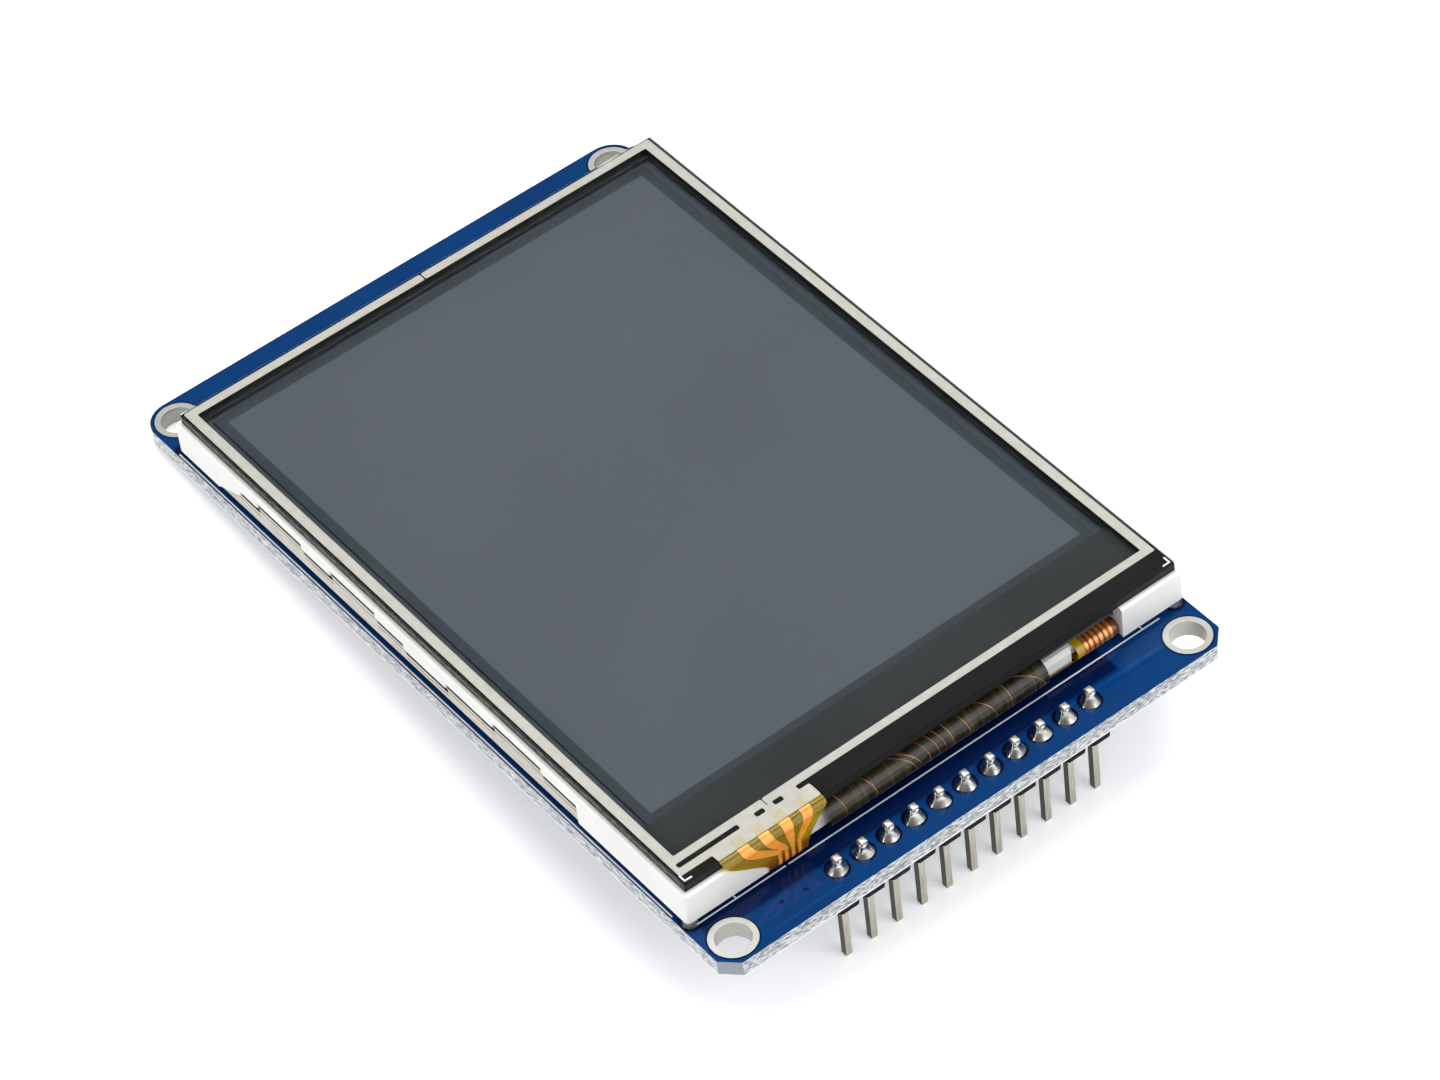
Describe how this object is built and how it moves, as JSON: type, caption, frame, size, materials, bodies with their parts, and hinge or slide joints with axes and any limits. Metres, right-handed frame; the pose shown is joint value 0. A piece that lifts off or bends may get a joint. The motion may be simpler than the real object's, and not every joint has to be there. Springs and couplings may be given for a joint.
{
  "type": "tft_display_module",
  "caption": "Colour TFT display with a resistive touch panel in a white backlight frame, taped to a rectangular circuit board with four plated mounting holes and a straight pin header.",
  "frame": {"origin": "centre of the pattern of four mounting holes, on the underside of the board", "axes": "+Z out of the screen, +Y along the board away from the pin header, +X to the right when the header is at the bottom of the screen"},
  "size_m": [0.0506, 0.0804, 0.015],
  "materials": {
    "board_laminate": "semi-gloss blue solder mask over glass-fibre laminate",
    "header_plastic": "matt black moulded plastic",
    "tinned_metal": "tinned copper",
    "pin_metal": "tinned brass",
    "solder": "bright solder",
    "foam": "black foam tape",
    "white_plastic": "white moulded plastic",
    "white_film": "white optical film",
    "clear_plastic": "clear polished acrylic",
    "lamp_plastic": "pale yellow resin",
    "amber_film": "amber polyimide film",
    "olive_film": "dark olive polyimide film",
    "copper": "bright copper foil",
    "black_film": "matt black film",
    "polarizer_film": "smooth grey polarizing film",
    "display_glass": "clear glass, polished",
    "clear_glass": "clear glass, polished",
    "clear_film": "clear hard-coated film",
    "silicon": "dark silicon",
    "silver_ink": "printed silver, satin",
    "black_mould": "matt black moulding compound",
    "tan_ceramic": "tan ceramic"
  },
  "bodies": {
    "root": {"circuit_board": "board_laminate", "hole_plating_1": "tinned_metal", "hole_plating_2": "tinned_metal", "hole_plating_3": "tinned_metal", "hole_plating_4": "tinned_metal", "header_housing": "header_plastic", "header_pin_1": "pin_metal", "header_pin_2": "pin_metal", "header_pin_3": "pin_metal", "header_pin_4": "pin_metal", "header_pin_5": "pin_metal", "header_pin_6": "pin_metal", "header_pin_7": "pin_metal", "header_pin_8": "pin_metal", "header_pin_9": "pin_metal", "header_pin_10": "pin_metal", "header_pin_11": "pin_metal", "solder_joint_1": "solder", "solder_joint_2": "solder", "solder_joint_3": "solder", "solder_joint_4": "solder", "solder_joint_5": "solder", "solder_joint_6": "solder", "solder_joint_7": "solder", "solder_joint_8": "solder", "solder_joint_9": "solder", "solder_joint_10": "solder", "solder_joint_11": "solder", "flex_pads": "tinned_metal", "foam_tape_left": "foam", "foam_tape_right": "foam", "backlight_frame": "white_plastic", "reflector_film": "white_film", "light_guide": "clear_plastic", "backlight_lamps": "lamp_plastic", "backlight_flex": "amber_film", "backlight_tracks": "copper", "diffuser_film": "white_film", "prism_film": "white_film", "rim_tape": "black_film", "lower_polarizer": "polarizer_film", "circuit_glass": "display_glass", "filter_glass": "display_glass", "upper_polarizer": "polarizer_film", "driver_chip": "silicon", "display_flex": "olive_film", "touch_gasket": "black_film", "touch_glass": "clear_glass", "touch_spacer": "black_film", "silver_border": "silver_ink", "touch_film": "clear_film", "touch_flex": "amber_film", "touch_conductors": "copper", "controller_package": "black_mould", "controller_leads": "tinned_metal", "regulator_package": "black_mould", "regulator_leads": "tinned_metal", "chip_capacitors": "tan_ceramic", "chip_resistors": "black_mould", "chip_terminals": "tinned_metal"}
  },
  "joints": []
}
